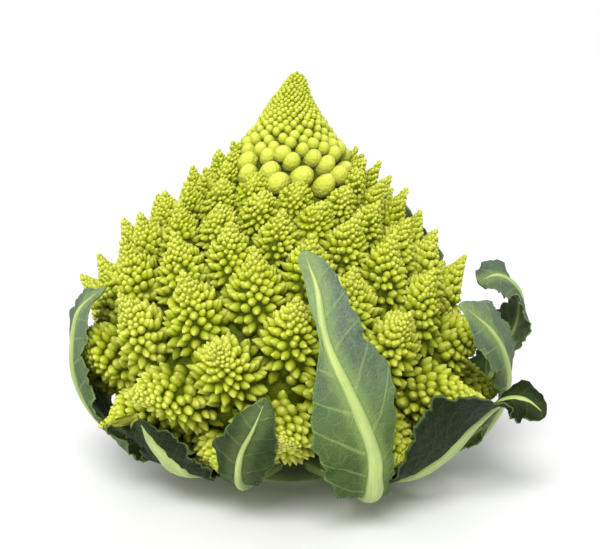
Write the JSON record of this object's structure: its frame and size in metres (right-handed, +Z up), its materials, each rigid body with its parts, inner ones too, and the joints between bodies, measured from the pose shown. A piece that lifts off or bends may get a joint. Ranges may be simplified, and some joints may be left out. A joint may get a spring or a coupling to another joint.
{
  "type": "romanesco head",
  "caption": "Whole romanesco head: a pointed cone of spiralling green florets, cupped by its outer leaves and resting on the cut face of its thick stem.",
  "frame": {"origin": "middle of the stem's cut face, which is flat and is what the head rests on", "axes": "+Z up through the apex of the curd; the picture's viewer looks along +Y, so -Y is its front and +X its right"},
  "size_m": [0.1982, 0.1877, 0.1719],
  "materials": {
    "curd": "lime-green, softly waxy, lighter at the buds' tips",
    "stem": "pale green, moist at the cut",
    "leaf_blade": "waxy blue-green, with a bloom and paler veins",
    "leaf_rib": "smooth pale green"
  },
  "bodies": {
    "root": {"curd": "curd", "stem": "stem", "leaf_front_blade": "leaf_blade", "leaf_front_rib": "leaf_rib", "leaf_front_small_blade": "leaf_blade", "leaf_front_small_rib": "leaf_rib", "leaf_front_left_blade": "leaf_blade", "leaf_front_left_rib": "leaf_rib", "leaf_left_blade": "leaf_blade", "leaf_left_rib": "leaf_rib", "leaf_left_back_blade": "leaf_blade", "leaf_left_back_rib": "leaf_rib", "leaf_back_left_blade": "leaf_blade", "leaf_back_left_rib": "leaf_rib", "leaf_back_blade": "leaf_blade", "leaf_back_rib": "leaf_rib", "leaf_back_right_blade": "leaf_blade", "leaf_back_right_rib": "leaf_rib", "leaf_right_hooked_blade": "leaf_blade", "leaf_right_hooked_rib": "leaf_rib", "leaf_right_blade": "leaf_blade", "leaf_right_rib": "leaf_rib", "leaf_right_low_blade": "leaf_blade", "leaf_right_low_rib": "leaf_rib"}
  },
  "joints": []
}
